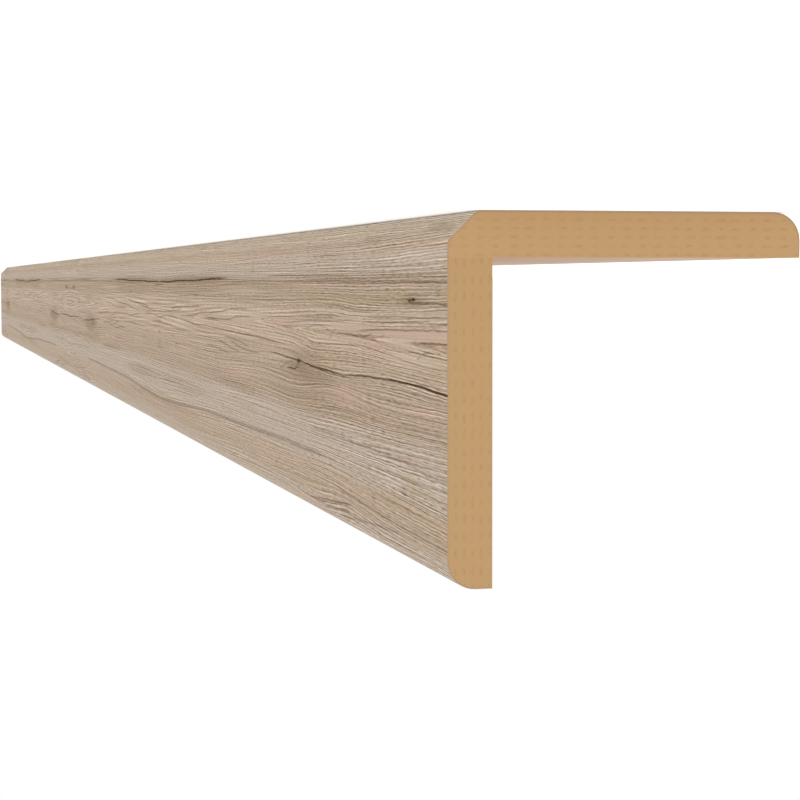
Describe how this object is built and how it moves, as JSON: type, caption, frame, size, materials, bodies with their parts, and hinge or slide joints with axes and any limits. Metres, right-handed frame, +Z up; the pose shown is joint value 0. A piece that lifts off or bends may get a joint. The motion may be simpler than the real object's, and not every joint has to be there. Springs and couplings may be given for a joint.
{
  "type": "corner guard moulding",
  "caption": "Equal-leg angle moulding of wood-fibre board wrapped in a weathered oak decor foil, with a chamfered heel and rounded toes, glued over an outside wall corner.",
  "frame": {"origin": "under the middle of the bounding box, on the plane of the flat leg's outer face", "axes": "+X along the length, +Y from the upright leg's outer face towards the flat leg's toe, +Z up along the upright leg"},
  "size_m": [1, 0.042, 0.042],
  "materials": {
    "mdf": "matte",
    "foil": "matte"
  },
  "bodies": {
    "root": {"mdf_core": "mdf", "decor_foil": "foil"}
  },
  "joints": []
}
